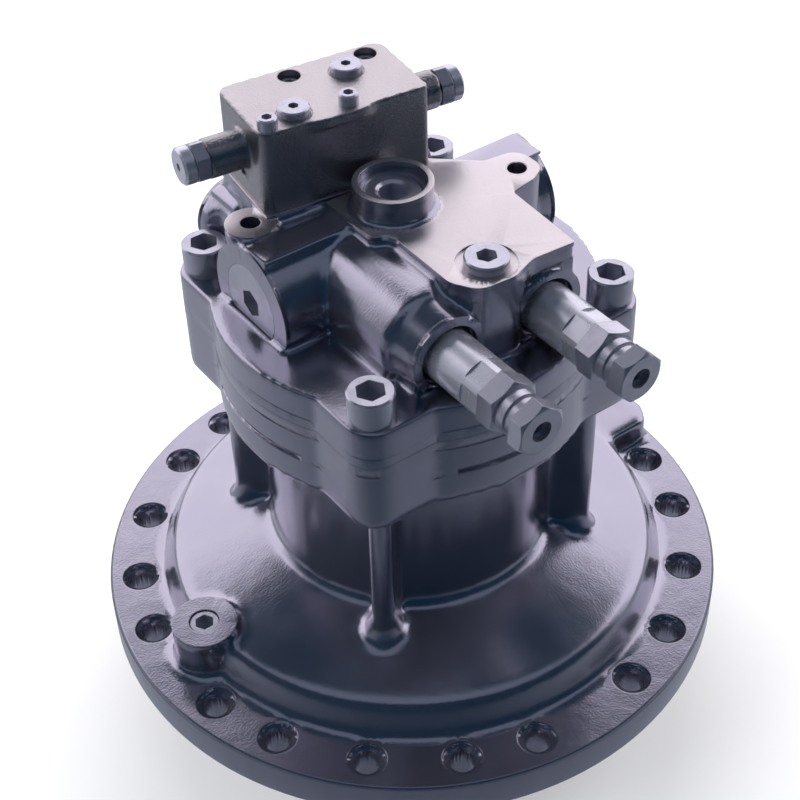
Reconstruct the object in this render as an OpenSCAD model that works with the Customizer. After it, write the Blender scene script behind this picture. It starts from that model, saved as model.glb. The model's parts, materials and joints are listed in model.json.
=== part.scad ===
// Axial piston swing motor: flanged casing, valve casing with relief and make-up valves,
// anti-reaction valve block, rotating group and parking brake. Millimetres.
// Origin: centre of the mounting face, +Z up along the shaft, relief valves point to -Y.

/* [Mounting flange] */
// Diameter of the mounting flange
flange_d = 450; // [440:1:480]
// Thickness of the mounting flange
flange_t = 28; // [24:1:34]
// Distance from the bolt circle to the flange's rim
bolt_edge = 22.5; // [20:0.5:24]
// Diameter of the mounting holes
bolt_hole_d = 17.5; // [14:0.5:20]
// Diameter of the spotface round each mounting hole
spotface_d = 27; // [24:0.5:32]
// Depth of the spotface
spotface_deep = 4; // [2:0.5:6]
// Distance from the pilot spigot to the flange's rim
spigot_edge = 55; // [50:0.5:60]
// Height of the pilot spigot
spigot_h = 8; // [5:0.5:12]

/* [Casing] */
// Distance from the raised step to the flange's rim
step_edge = 42; // [40:0.5:45]
// Height of the step's rounded top edge above the mounting face
step_z = 53; // [48:1:58]
// Height at which the shallow cone meets the neck
cone_z = 68; // [64:1:74]
// Wall of the cone and step over the hollow underside
bell_wall = 15; // [11:1:18]
// Diameter of the neck
neck_d = 200; // [198:1:208]
// Width over the four corner pads
pad_w = 226; // [222:1:232]
// How far the round bulge of the top flange stands out from the pads' sides
bulge_out = 15; // [12:0.5:18]
// Underside of the top flange
top_flange_z = 192; // [188:1:200]
// Joint face between casing and valve casing
joint_z = 245; // [243:1:250]
// Thickness of the four ribs under the corner pads
rib_t = 16; // [10:1:18]

/* [Valve casing] */
// Thickness of the valve casing's base
base_t = 27; // [24:1:32]
// Height of the machined top plate above the joint face
plate_h = 87; // [84:1:92]
// Distance from a corner bolt to the sides of its pad
corner_bolt_edge = 18.8; // [17:0.1:20]
// Radius of the cross bore boss that holds the make-up valves
cross_r = 40.5; // [38:0.5:43]
// Reach of the cross bore boss to the left of the shaft
cross_left = 102; // [98:1:108]
// Reach of the cross bore boss to the right of the shaft
cross_right = 115; // [106:1:118]
// Height of the cross bore above the joint face
cross_h = 42; // [40:1:46]
// Offset of the cross bore behind the shaft
cross_y = 25; // [22:1:28]
// Distance between the two relief valves
relief_gap = 76; // [74:1:80]
// Height of the relief valves above the joint face
relief_h = 47; // [45:1:49]
// Radius of the relief valve bosses
relief_boss_r = 33; // [30:0.5:35]
// Radius of the collar in front of each relief valve boss
relief_collar_r = 27; // [25:0.5:30]
// Reach of the relief valve bosses in front of the shaft
relief_boss_y = 98; // [94:1:104]
// Distance between the two main ports
port_gap = 112; // [108:1:114]
// Minor diameter of the main port threads, G 1
port_d = 30.3; // [20:0.1:31]
// Radius of the main port bosses
port_boss_r = 29; // [25:0.5:31]

/* [Anti-reaction valve] */
// Length of the valve block
block_w = 118; // [114:1:122]
// Depth of the valve block
block_deep = 67; // [62:1:72]
// Height of the valve block
block_h = 58; // [54:1:62]
// Angle between the valve block and the cross bore
block_yaw = 7.2; // [5:0.1:8]
// Diameter of the spool
spool_d = 12; // [10:0.5:14]

/* [Rotating group] */
// Angle of the swash face
swash_angle = 15; // [12:0.5:16]
// Radius of the piston circle
piston_r = 52; // [51.5:0.25:52.5]
// Diameter of the pistons
piston_d = 30; // [26:0.5:31]
// Number of pistons
pistons_n = 9; // [7:2:9]
// Outer radius of the cylinder block
barrel_r = 72; // [71:0.5:73]
// Radius of the shaft in the front bearing
shaft_r = 32.5; // [31:0.5:33.5]
// Length of the output spline below the mounting face
output_l = 50; // [40:1:70]
// Travel of the brake piston
brake_travel = 1.5; // [1:0.1:2]

/* [Fits] */
// Radial gap between pieces that are bolted or pressed together
fit = 0.1; // [0.05:0.01:0.15]
// Radial running gap between moving pieces
run = 0.05; // [0.03:0.01:0.08]

/* [Hidden] */
$fn = 72;

paint = "#3b3d47";
paint_light = "#5b5d66";
machined = "#b9bcc2";
steel = "#8f9297";
bronze = "#b08d57";
rubber = "#1d1d1f";
eps = 0.5;

// Heights that follow from the driving sizes
floor_z = joint_z + base_t;
plate_z = joint_z + plate_h;
cross_z = joint_z + cross_h;
relief_z = joint_z + relief_h;
port_z = joint_z + 42.5;
port_end = 118;
port_deep = 28;
dowel_r = 4;
dowel_half = 9.5;
o_ring_groove_w = 3.4;
o_ring_section = 1.25;
casing_bolt_r = 10;
casing_bolt_l = 62;
casing_bolt_head_r = 15;
casing_bolt_af = 17;
flange_r = flange_d / 2;
bolt_pcd = flange_d - 2 * bolt_edge;
spigot_d = flange_d - 2 * spigot_edge;
neck_r = neck_d / 2;
step_r = flange_r - step_edge;
bulge_d = pad_w + 2 * bulge_out;
dowel_x = bulge_d / 2 - 10;
corner = pad_w / 2 - corner_bolt_edge;
bolt_angles = [12, 27, 45, 63, 78];

// Bearing, seal and shaft places
front_bearing_z = 20;
front_bearing_w = 33;
front_outer_r = 70;
front_roller_r = 6.8;
front_pitch_r = front_outer_r - 19;
rear_bearing_z = joint_z + 2.5;
rear_bearing_w = 23;
rear_outer_r = 40;
rear_roller_r = 3.9;
rear_pitch_r = rear_outer_r - 10;
journal_r = 20;
spline_root_r = 27;
spline_tip_r = 29.5;
seal_r = 47.5;
seal_w = 10;

// Swash face, shoes and pistons
swash_z = 88;
shoe_plate_t = 8;
shoe_plate_r = 69;
retainer_r = 70;
retainer_t = 5;
ball_lift = 24;
ball_r = 9;
pivot_z = swash_z + ball_lift / cos(swash_angle);
shaft_hole_r = 40;
bush_r = 34;
barrel_z = 145;
valve_plate_t = 6;
valve_plate_r = 64;
piston_l = 78;
neck_of_piston = 14;
barrel_top_z = joint_z - valve_plate_t - fit;

// Brake
cavity_r = 83;
plates_r = 90;
brake_r = 98;
o_ring_r = brake_r + 8.7;
plates_z = 158;
plate_t = 3;
plate_gap = 0.2;
friction_n = 4;
lug_r = barrel_r + 4;
lug_w = 12;
lugs_n = 8;
tab_w = 14;
tab_r = plates_r + 3.5;
tabs_n = 6;
stack_top_z = plates_z + (2 * friction_n + 1) * (plate_t + plate_gap) + plate_gap;
brake_step_z = 201;
brake_top_z = joint_z - 13;
brake_spring_r = 5.5;
brake_springs_n = 16;
brake_spring_deep = 14;

// Make-up valves
makeup_plug_r = 26.6;
makeup_plug_l = 20;
makeup_bore_r = 19;
makeup_seat_x = 46;
makeup_travel = 5;
plunger_l = 24;

// Relief valves
relief_body_r = 17.5;
relief_step_y = 75;
relief_body_end = 144;
relief_body_in = 58;
relief_nut_af = 33;
relief_nut_end = 158;
relief_nut_turn = [26, 38];
relief_neck_r = 13;
relief_hex_af = 31;
relief_hex_l = 11.5;
relief_hex_turn = [25, 14];
relief_end = 183.5;
relief_bore_r = 9;
poppet_l = 26;
adjuster_in = 112;

// Anti-reaction valve block, placed by its centre
block_at = [-11.6, 68.1];
block_top = plate_z + block_h;
spool_y = -3.5;
spool_z = plate_z + 34.5;
nose_r = 13;
nose_left = 26.4;
nose_right = 19.8;
spool_nut_af = 24;
spool_nut_l = 9;
spool_cap_l = 8;
spool_half = 44;
spool_x = (nose_right - nose_left) / 2;

function arc(c, r, a0, a1, n = 6) =
    [for (i = [0:n]) c + r * [cos(a0 + (a1 - a0) * i / n), sin(a0 + (a1 - a0) * i / n)]];
function unit(v) = v / norm(v);
function turn(a0, a1) = (a1 - a0 + 900) % 360 - 180;
function corner_arc(p, a, b, r, n) =
    let (
        u = unit(a - p), w = unit(b - p), half = acos(u * w) / 2,
        c = p + unit(u + w) * r / sin(half), s = p + u * r / tan(half) - c,
        e = p + w * r / tan(half) - c, a0 = atan2(s.y, s.x)
    ) arc(c, r, a0, a0 + turn(a0, atan2(e.y, e.x)), n);
// Corners given as [x, y, radius]; a radius of 0 keeps the corner sharp
function rounded(pts, n = 5) = [
    for (i = [0:len(pts) - 1])
        let (
            k = len(pts), q = pts[i], p = [q.x, q.y],
            a = [pts[(i + k - 1) % k].x, pts[(i + k - 1) % k].y],
            b = [pts[(i + 1) % k].x, pts[(i + 1) % k].y]
        ) each q[2] > 0 ? corner_arc(p, a, b, q[2], n) : [p]
];
function kidney(r, half_w, a0, a1) = concat(
    arc([0, 0], r + half_w, a0, a1, 10),
    arc(r * [cos(a1), sin(a1)], half_w, a1, a1 + 180, 6),
    arc([0, 0], r - half_w, a1, a0, 10),
    arc(r * [cos(a0), sin(a0)], half_w, a0 + 180, a0 + 360, 6)
);
function spline(n, root, tip) = [
    for (i = [0:n - 1], k = [[-0.30, root], [-0.20, tip], [0.20, tip], [0.30, root]])
        k[1] * [cos(360 * (i + k[0]) / n), sin(360 * (i + k[0]) / n)]
];
function cross_end(side) = side == 0 ? cross_left : cross_right;
function ball_z(a) = pivot_z - piston_r * cos(a) * tan(swash_angle);

// Cylinders along the three axes, from one coordinate to another
module along_z(r, z0, z1) translate([0, 0, z0]) cylinder(r = r, h = z1 - z0);
module along_x(r, x0, x1) translate([x0, 0, 0]) rotate([0, 90, 0]) cylinder(r = r, h = x1 - x0);
module along_y(r, y0, y1) translate([0, y0, 0]) rotate([-90, 0, 0]) cylinder(r = r, h = y1 - y0);
module box(a, b) translate(a) cube(b - a);
module ring(r0, r1, z0, z1) difference() {
    along_z(r1, z0, z1);
    along_z(r0, z0 - eps, z1 + eps);
}
module hex_z(af, z0, z1) translate([0, 0, z0]) cylinder(r = af / sqrt(3), h = z1 - z0, $fn = 6);
// Hexagon with its corners turned down to a cone at the upper end
module hex_nut(af, l, chamfer = 1.5) intersection() {
    hex_z(af, 0, l);
    rotate_extrude() polygon([
        [0, 0], [af / sqrt(3) + 0.1, 0], [af / sqrt(3) + 0.1, l - chamfer],
        [af / 2 - 0.4, l], [0, l]
    ]);
}
// Lies on the swash face, with its origin at the centre of the ball circle
module on_swash() translate([0, 0, pivot_z]) rotate([0, swash_angle, 0]) children();
module at_corners() for (x = [-1, 1], y = [-1, 1]) translate([x * corner, y * corner, 0]) children();
module at_relief(side) translate([side * relief_gap / 2, 0, relief_z]) children();
module at_cross() translate([0, cross_y, cross_z]) children();
module at_port(side) translate([side * port_gap / 2, 0, port_z]) children();
module at_block() translate([block_at.x, block_at.y, 0]) rotate(-block_yaw) children();
module at_spool() translate([0, spool_y, spool_z]) children();
module at_dowels() for (s = [-1, 1]) translate([s * dowel_x, 0, 0]) children();
module torus(r, section) rotate_extrude() translate([r, 0]) circle(r = section, $fn = 24);

// Round body with four corner pads, shared by the casing's top flange and the valve casing's base
module body_outline(grow = 0) {
    circle(r = bulge_d / 2 + grow);
    h = pad_w / 2 + grow;
    polygon(rounded([[-h, -h, 20], [h, -h, 20], [h, h, 20], [-h, h, 20]]));
}

module casing_outside() {
    edge = 9;
    top_r = step_r - 15;
    rotate_extrude() polygon(concat(
        [[0, -spigot_h], [spigot_d / 2 - 2, -spigot_h], [spigot_d / 2, -spigot_h + 2]],
        [[spigot_d / 2, 0], [flange_d / 2 - 2, 0], [flange_d / 2, 2]],
        [[flange_d / 2, flange_t - 2], [flange_d / 2 - 2, flange_t]],
        arc([step_r + 5, flange_t + 5], 5, 270, 190, 4),
        arc([top_r, step_z - edge], edge, 15, 80, 5),
        arc([neck_r + 9, cone_z + 9], 9, 257, 180, 5),
        arc([neck_r + 14, top_flange_z - 14], 14, 180, 100, 4),
        [[bulge_d / 2 - 6, top_flange_z + 2], [bulge_d / 2 - 6, joint_z - 5], [0, joint_z - 5]]
    ));
}
module casing_rib() {
    rib_out = corner * sqrt(2) - rib_t / 2 - 2;
    box([neck_r - 8, -rib_t / 2, cone_z - 20], [rib_out, rib_t / 2, top_flange_z + 5]);
    translate([rib_out, 0, 0]) along_z(rib_t / 2, cone_z - 20, top_flange_z + 5);
    translate([rib_out - 3, 0, cone_z - 14]) cylinder(r1 = 19, r2 = rib_t / 2 + 0.2, h = 26);
}
filler_r = step_r - 5;
filler_z = step_z + 7;
filler_boss_r = 23;
filler_plug_r = 10.5;
filler_thread_r = 8.5;
// Boss between the step and the flange's rim on the right
side_boss_z = 50;
module side_boss() linear_extrude_at(flange_t - eps, side_boss_z - flange_t + eps) polygon(rounded([
    [step_r - 30, -25, 0], [flange_r - 11, -24, 8], [flange_r - 2, -10, 8], [flange_r - 2, 12, 8],
    [flange_r - 13, 25, 8], [step_r - 30, 25, 0]
]));
module casing() color(paint) difference() {
    union() {
        casing_outside();
        translate([0, 0, top_flange_z]) linear_extrude(joint_z - top_flange_z) body_outline();
        for (q = [45:90:315]) rotate(q) casing_rib();
        translate([-filler_r, 0, 0]) along_z(filler_boss_r, flange_t - 5, filler_z);
        side_boss();
    }
    bell_hollow();
    // Front bearing and seal carrier, open to the mounting face, with a groove for the ring
    along_z(front_outer_r, -eps - spigot_h, 6.5);
    along_z(front_outer_r + 2, 4, 6.2);
    along_z(front_outer_r, 6, front_bearing_z + front_bearing_w);
    along_z(shaft_hole_r, front_bearing_z + front_bearing_w - 1, swash_z + 30);
    // Cavity of the rotating group, with the sloping swash face as its floor
    difference() {
        along_z(cavity_r, swash_z - 30, plates_z + 1);
        translate([0, 0, swash_z]) rotate([0, swash_angle, 0])
            translate([0, 0, -100]) cube([400, 400, 200], center = true);
    }
    along_z(plates_r, plates_z, brake_step_z + 1);
    along_z(brake_r, brake_step_z, joint_z + eps);
    for (i = [0:tabs_n - 1]) rotate(i * 360 / tabs_n)
        box([plates_r - 6, -tab_w / 2 - fit, plates_z], [tab_r + fit, tab_w / 2 + fit, brake_step_z + 1]);
    for (q = [0:90:270], a = bolt_angles) rotate(q + a) translate([bolt_pcd / 2, 0, 0]) {
        along_z(bolt_hole_d / 2, -eps, flange_t + eps);
        along_z(spotface_d / 2, flange_t - spotface_deep, flange_t + 9);
    }
    at_corners() along_z(casing_bolt_r + fit, floor_z - casing_bolt_l - 5, joint_z + eps);
    at_dowels() along_z(dowel_r + fit / 2, joint_z - dowel_half - 0.5, joint_z + eps);
    ring(o_ring_r - o_ring_groove_w / 2, o_ring_r + o_ring_groove_w / 2, joint_z - 2 * o_ring_section - fit, joint_z + eps);
    translate([-filler_r, 0, 0]) {
        along_z(filler_plug_r + fit, filler_z - 3, filler_z + eps);
        along_z(filler_thread_r + fit, flange_t + 12, filler_z);
    }
    casting_grooves();
}
// Hollow underside between the bearing hub and the pilot spigot
module bell_hollow() {
    bell_r = spigot_d / 2 - 18;
    hub_r = front_outer_r + 13;
    top = step_z - bell_wall;
    rotate_extrude() polygon(concat(
        [[hub_r, -spigot_h - eps], [bell_r, -spigot_h - eps]],
        arc([bell_r - 12, top - 12], 12, 0, 80, 4),
        arc([hub_r + 16, top + 2], 8, 90, 180, 4),
        [[hub_r, 20]]
    ));
    // The hub's face lies behind the mounting face
    along_z(hub_r + 1, -spigot_h - eps, -2);
}
// Two grooves cast round the bulge below the joint
module casting_grooves() {
    z = joint_z - 30;
    for (a = [[161, 202], [248, 268]]) {
        difference() {
            linear_extrude_at(z, 3) polygon(concat([[0, 0]], arc([0, 0], bulge_d, a[0], a[1], 3)));
            along_z(bulge_d / 2 - 2.5, z - 1, z + 4);
        }
    }
}
module linear_extrude_at(z, h) translate([0, 0, z]) linear_extrude(h) children();

// Machined top plate: it covers both relief bosses and ends in a lobe round the gauge port
gauge = [83, -12];
drain = [-85, 46];
drain_boss_r = 16.5;
port_thread_r = 6.5;
top_plug_at = [4.5, -79];
centre_at = [-4, 4.5];
centre_boss_r = 26;
centre_boss_h = 18;
centre_hole_r = 22;
centre_hole_z = plate_z - 10;
centre_plug_z = plate_z + 11;
// Rough band at the plate's back edge
band_z = plate_z - 0.8;
band_y = 23;
module plate_outline() polygon(rounded([
    [-37, 33, 0], [-36, -17.5, 4], [-28, -20, 4], [-25, -27, 6], [-26, -82, 14], [-16, -99, 14],
    [9, -101, 10], [28, -94, 20], [60, -96.5, 2], [64, -31, 3], [84, -28, 12], [98, -20, 12],
    [97.5, 5, 12], [72, 8, 8], [45, 33, 0]
]));
module valve_body_outside() {
    linear_extrude_at(joint_z, base_t) body_outline();
    // Body that joins the bosses, with the seat of the valve block
    linear_extrude_at(floor_z - eps, plate_z - floor_z + eps) plate_outline();
    at_block() box([-block_w / 2 - 1, -block_deep / 2 - 1, floor_z - eps], [block_w / 2 + 1, block_deep / 2 + 2, plate_z]);
    box([-62, 0, floor_z - eps], [62, 96, cross_z + 24]);
    at_cross() along_x(cross_r, -cross_left, 1);
    // The right end of the cross bore boss falls off behind the band
    difference() {
        at_cross() along_x(cross_r, 0, cross_right);
        translate([0, band_y, band_z]) rotate([-47, 0, 0]) box([-1, -60, 0], [cross_right + 1, 60, 30]);
    }
    box([-cross_left + 2, cross_y - 37, floor_z - eps], [cross_right - 8, cross_y + 37, cross_z]);
    // Bare raised strip on the left cross bore boss
    box([-cross_left + 1, 5, cross_z + 20], [-34, 28, cross_z + cross_r + 1]);
    for (s = [-1, 1]) {
        at_relief(s) along_y(relief_boss_r, -relief_step_y, 20);
        at_relief(s) toward_front(relief_step_y - 1)
            cylinder(r1 = relief_boss_r - 2.5, r2 = relief_collar_r, h = relief_boss_y - relief_step_y + 1);
        translate([s * relief_gap / 2, 0, 0]) {
            box([-relief_boss_r + 3, -relief_step_y + 2, floor_z - eps], [relief_boss_r - 3, 20, relief_z]);
            box([-relief_collar_r + 3, -relief_boss_y + 3, floor_z - eps], [relief_collar_r - 3, 0, relief_z]);
        }
        at_port(s) along_y(port_boss_r, 80, port_end);
        at_port(s) box([-port_boss_r + 4, 80, floor_z - port_z - eps], [port_boss_r - 4, port_end - 2, 0]);
        // Bare raised strip on the port boss
        at_port(s) box([s * 12 - 6, 84, 16], [s * 12 + 6, port_end - 4, port_boss_r - 1.5]);
    }
    // Flat on top of the left relief valve boss, beside the plate
    at_relief(-1) box([0, -70, 0], [10, -20, relief_boss_r + 0.4]);
    box([40, -5, cross_z + 20], [cross_right - 6, band_y, band_z]);
    translate(centre_at) along_z(centre_boss_r, centre_hole_z, plate_z + centre_boss_h);
    translate(drain) along_z(drain_boss_r, floor_z - eps, plate_z - 2);
}
module valve_casing() color(paint) difference() {
    valve_body_outside();
    // Rear bearing, kidney ports and the joint's own holes
    along_z(rear_outer_r, joint_z - eps, rear_bearing_z + rear_bearing_w);
    along_z(journal_r + 3, rear_bearing_z + rear_bearing_w - 1, rear_bearing_z + rear_bearing_w + 8);
    for (a = [25, 205]) linear_extrude_at(joint_z - eps, 10) polygon(kidney(piston_r, 7, a, a + 130));
    at_corners() along_z(casing_bolt_r + 0.5, joint_z - eps, floor_z + eps);
    at_corners() along_z(casing_bolt_head_r + 2, floor_z, plate_z + 30);
    at_dowels() along_z(dowel_r + fit / 2, joint_z - eps, joint_z + dowel_half + 0.5);
    // Central plug, top plug and threaded ports
    translate(centre_at) along_z(centre_hole_r, centre_hole_z, plate_z + centre_boss_h + eps);
    translate(top_plug_at) {
        along_z(19.5, plate_z - 1.5, plate_z + eps);
        along_z(9 + fit, plate_z - 26, plate_z);
    }
    translate(gauge) along_z(port_thread_r, plate_z - 18, plate_z + eps);
    translate(drain) along_z(port_thread_r, plate_z - 20, plate_z);
    // Cross bores for the make-up valves
    for (s = [0, 1]) mirror([s, 0, 0]) at_cross() {
        x_end = cross_end(s);
        along_x(makeup_plug_r + fit, -x_end - eps, -x_end + makeup_plug_l);
        along_x(makeup_bore_r, -x_end + makeup_plug_l - 1, -makeup_seat_x);
        along_x(11, -makeup_seat_x - 1, -makeup_seat_x + 12);
    }
    for (s = [-1, 1]) {
        at_relief(s) along_y(relief_body_r + fit, -relief_boss_y - eps, -relief_body_in + 0.2);
        at_relief(s) along_y(relief_body_r + 3.5, -relief_boss_y - eps, -relief_boss_y + 5);
        at_relief(s) along_y(relief_bore_r, -relief_body_in, -relief_body_in + 26);
        at_port(s) along_y(port_d / 2, port_end - port_deep, port_end + eps);
        at_port(s) along_y(port_d / 2 - 5, port_end - port_deep - 18, port_end - port_deep + 1);
    }
    block_seat_holes();
}
// Screw holes and ports under the anti-reaction valve block
front_screws = [[-block_w / 2 + 8.3, -block_deep / 2 + 7.5], [5.3, -block_deep / 2 + 7.5]];
rear_screws = [[-12.2, block_deep / 2 - 11], [block_w / 2 - 16.2, block_deep / 2 - 11]];
seat_ports = [[-29, spool_y], [29, spool_y]];
module block_seat_holes() at_block() {
    for (p = concat(front_screws, rear_screws)) translate(p) along_z(4 + fit, plate_z - 22, plate_z + eps);
    for (p = seat_ports) translate(p) along_z(4, plate_z - 16, plate_z + eps);
}

// Socket head cap screw, head resting on z = 0
module cap_screw(r, l, head_r, head_h, af) difference() {
    union() {
        along_z(r, -l, 0.5);
        rotate_extrude() polygon([
            [0, 0], [head_r, 0], [head_r, head_h - 1], [head_r - 1, head_h], [0, head_h]
        ]);
    }
    hex_z(af, head_h * 0.4, head_h + eps);
}
module casing_bolts() color(steel) at_corners() translate([0, 0, floor_z])
    cap_screw(casing_bolt_r, casing_bolt_l, casing_bolt_head_r, 2 * casing_bolt_r, casing_bolt_af);
module casing_dowels() color(steel) at_dowels() along_z(dowel_r, joint_z - dowel_half, joint_z + dowel_half);
module casing_o_ring() color(rubber) translate([0, 0, joint_z - o_ring_section - 0.05]) torus(o_ring_r, o_ring_section);
// Socket plug: flat head on z = 0 and thread below
module socket_plug(thread_r, l, head_r, head_h, af, socket_deep) difference() {
    union() {
        along_z(thread_r, -l, 0.2);
        rotate_extrude() polygon([
            [0, 0], [head_r, 0], [head_r, head_h - 0.8], [head_r - 0.8, head_h], [0, head_h]
        ]);
    }
    hex_z(af, head_h - socket_deep, head_h + eps);
}
module filler_plug() color(steel) translate([-filler_r, 0, filler_z - 3])
    socket_plug(filler_thread_r, 14, filler_plug_r, 2, 12, 9);
module centre_plug() color(steel) translate([centre_at.x, centre_at.y, centre_plug_z]) difference() {
    along_z(centre_hole_r - fit, centre_hole_z - centre_plug_z, 0);
    hex_z(17, -9, eps);
    rotate_extrude() polygon([[0, eps], [11.6, eps], [11.6, 0], [9.4, -1.6], [0, -1.6]]);
    ring(17.5, 19, -0.8, eps);
}
module top_plug() color(machined) translate([top_plug_at.x, top_plug_at.y, plate_z - 1.5])
    socket_plug(9, 20, 14.25, 6.3, 12, 8);

// Front bearing, seal and their retaining parts
module seal_carrier() color(steel) difference() {
    along_z(front_outer_r - fit, 6.2, front_bearing_z - 0.1);
    along_z(seal_r, 5, 6.2 + seal_w);
    along_z(shaft_r + 4, 5, front_bearing_z + eps);
}
module retaining_ring() color(steel) difference() {
    ring(front_outer_r - 6, front_outer_r + 2 - fit, 4, 6.1);
    box([0, -8, 3], [front_outer_r + 5, 8, 7]);
}
module oil_seal() color(rubber) difference() {
    along_z(seal_r - fit / 2, 6.3, 6 + seal_w);
    rotate_extrude() polygon([
        [0, 6], [shaft_r + 1.5, 6], [shaft_r + 1.5, 8.5], [shaft_r - 2.4, 11], [shaft_r + 3, 12.5],
        [seal_r - 5, 12.5], [seal_r - 5, 17], [0, 17]
    ]);
}
module races_outer(r_out, pitch, roller, z, w) ring(pitch + roller + run, r_out, z, z + w);
module races_inner(r_in, pitch, roller, z, w) ring(r_in, pitch - roller - run, z, z + w);
module roller_set(n, pitch, roller, z, w) for (i = [0:n - 1]) rotate(i * 360 / n)
    translate([pitch, 0, 0]) along_z(roller, z + 2, z + w - 2);
module front_bearing_outer_race() color(machined)
    races_outer(front_outer_r - 0.02, front_pitch_r, front_roller_r, front_bearing_z, front_bearing_w);
module front_bearing_inner_race() color(machined)
    races_inner(shaft_r + 0.02, front_pitch_r, front_roller_r, front_bearing_z, front_bearing_w);
module front_bearing_rollers() color(machined) {
    roller_set(16, front_pitch_r, front_roller_r, front_bearing_z, front_bearing_w);
}
module rear_bearing_outer_race() color(machined)
    races_outer(rear_outer_r - 0.02, rear_pitch_r, rear_roller_r, rear_bearing_z, rear_bearing_w);
module rear_bearing_inner_race() color(machined)
    races_inner(journal_r + 0.02, rear_pitch_r, rear_roller_r, rear_bearing_z, rear_bearing_w);
module rear_bearing_rollers() color(machined) {
    roller_set(16, rear_pitch_r, rear_roller_r, rear_bearing_z, rear_bearing_w);
}

module drive_shaft() color(steel) {
    difference() {
        union() {
            rotate_extrude() polygon([
                [0, 2 - output_l], [spline_root_r - 4, 2 - output_l], [spline_root_r - 3, 4 - output_l],
                [spline_root_r - 3, -4], [shaft_r - 2.5, -2], [shaft_r - 2.5, front_bearing_z - 1],
                [shaft_r, front_bearing_z - 0.5], [shaft_r, front_bearing_z + front_bearing_w],
                [shaft_hole_r - 2, front_bearing_z + front_bearing_w + 0.2],
                [shaft_hole_r - 2, front_bearing_z + front_bearing_w + 9],
                [spline_root_r, front_bearing_z + front_bearing_w + 14],
                [spline_root_r, barrel_top_z - 4], [journal_r, barrel_top_z],
                [journal_r, rear_bearing_z + rear_bearing_w + 1],
                [journal_r - 1.5, rear_bearing_z + rear_bearing_w + 2.5],
                [0, rear_bearing_z + rear_bearing_w + 2.5]
            ]);
            linear_extrude_at(3 - output_l, output_l - 8) polygon(spline(20, spline_root_r - 3.5, spline_root_r));
            linear_extrude_at(pivot_z - 14, barrel_top_z - pivot_z + 4)
                polygon(spline(16, spline_root_r - 0.5, spline_tip_r));
        }
        along_z(4.2, 1 - output_l, 26 - output_l);
    }
}

// Swash face wear plate, shoes, retainer and spherical bush
module shoe_plate() color(machined) on_swash() ring(shaft_hole_r, shoe_plate_r, -ball_lift + 0.02, -ball_lift + shoe_plate_t);
shoe_z = -ball_lift + shoe_plate_t + run;
module piston_shoes() color(bronze) on_swash() for (i = [0:pistons_n - 1]) {
    a = 360 * i / pistons_n;
    translate([piston_r * cos(a) / cos(swash_angle), piston_r * sin(a), 0]) difference() {
        rotate_extrude() polygon([
            [0, shoe_z], [15.5, shoe_z], [15.5, shoe_z + 5.3], [11.5, shoe_z + 5.4], [11.5, 3], [10.5, 4], [0, 4]
        ]);
        sphere(r = ball_r + fit);
        along_z(1.5, shoe_z - eps, 0);
    }
}
module retainer_plate() color(steel) on_swash() difference() {
    along_z(retainer_r, shoe_z + 5.5, shoe_z + 5.5 + retainer_t);
    sphere(r = bush_r + 0.25);
    for (i = [0:pistons_n - 1]) {
        a = 360 * i / pistons_n;
        translate([piston_r * cos(a) / cos(swash_angle), piston_r * sin(a), 0]) along_z(12.4, shoe_z, 0);
    }
}
module spherical_bush() color(steel) difference() {
    union() {
        translate([0, 0, pivot_z]) intersection() {
            sphere(r = bush_r);
            along_z(bush_r + 5, -14, bush_r);
        }
        along_z(bush_r - 1, pivot_z, barrel_z - fit);
    }
    linear_extrude_at(pivot_z - 30, barrel_z - pivot_z + 40)
        polygon(spline(16, spline_root_r + 0.1, spline_tip_r + fit));
    along_z(bush_r + 5, barrel_z - fit, barrel_z + 30);
}
spring_hole_r = 2.5;
bush_spring_r = 32.6;
module bush_springs() color(machined) for (i = [0:8]) rotate(20 + i * 40) translate([bush_spring_r, 0, 0])
    ring(1.2, spring_hole_r - fit, barrel_z, barrel_z + 20);
module piston() difference() {
    union() {
        sphere(r = ball_r);
        along_z(ball_r - 3, 0, neck_of_piston + 1);
        along_z(piston_d / 2 - 0.03, neck_of_piston, piston_l);
    }
    along_z(piston_d / 2 - 7, neck_of_piston + 12, piston_l + 1);
    along_z(1.5, -ball_r - eps, neck_of_piston + 16);
}
module pistons() color(steel) for (i = [0:pistons_n - 1]) {
    a = 360 * i / pistons_n;
    translate([piston_r * cos(a), piston_r * sin(a), ball_z(a)]) piston();
}
module cylinder_block() color(steel) difference() {
    union() {
        along_z(barrel_r, barrel_z, barrel_top_z);
        for (i = [0:lugs_n - 1]) rotate(i * 360 / lugs_n)
            box([barrel_r - 5, -lug_w / 2, plates_z - 2], [lug_r, lug_w / 2, stack_top_z + 3]);
    }
    linear_extrude_at(barrel_z - eps, barrel_top_z - barrel_z + 1)
        polygon(spline(16, spline_root_r + 0.1, spline_tip_r + fit));
    for (i = [0:pistons_n - 1]) {
        a = 360 * i / pistons_n;
        rotate(a) translate([piston_r, 0, 0]) along_z(piston_d / 2, barrel_z - eps, barrel_top_z - 11);
        linear_extrude_at(barrel_top_z - 12, 13) polygon(kidney(piston_r, 5.5, a - 9, a + 9));
    }
    for (i = [0:8]) rotate(20 + i * 40) translate([bush_spring_r, 0, 0]) along_z(spring_hole_r, barrel_z - eps, barrel_z + 20.2);
}
module valve_plate() color(bronze) difference() {
    ring(journal_r + 10, valve_plate_r, joint_z - valve_plate_t, joint_z);
    for (a = [25, 205]) linear_extrude_at(joint_z - valve_plate_t - eps, valve_plate_t + 1)
        polygon(kidney(piston_r, 5.5, a, a + 130));
}

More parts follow.
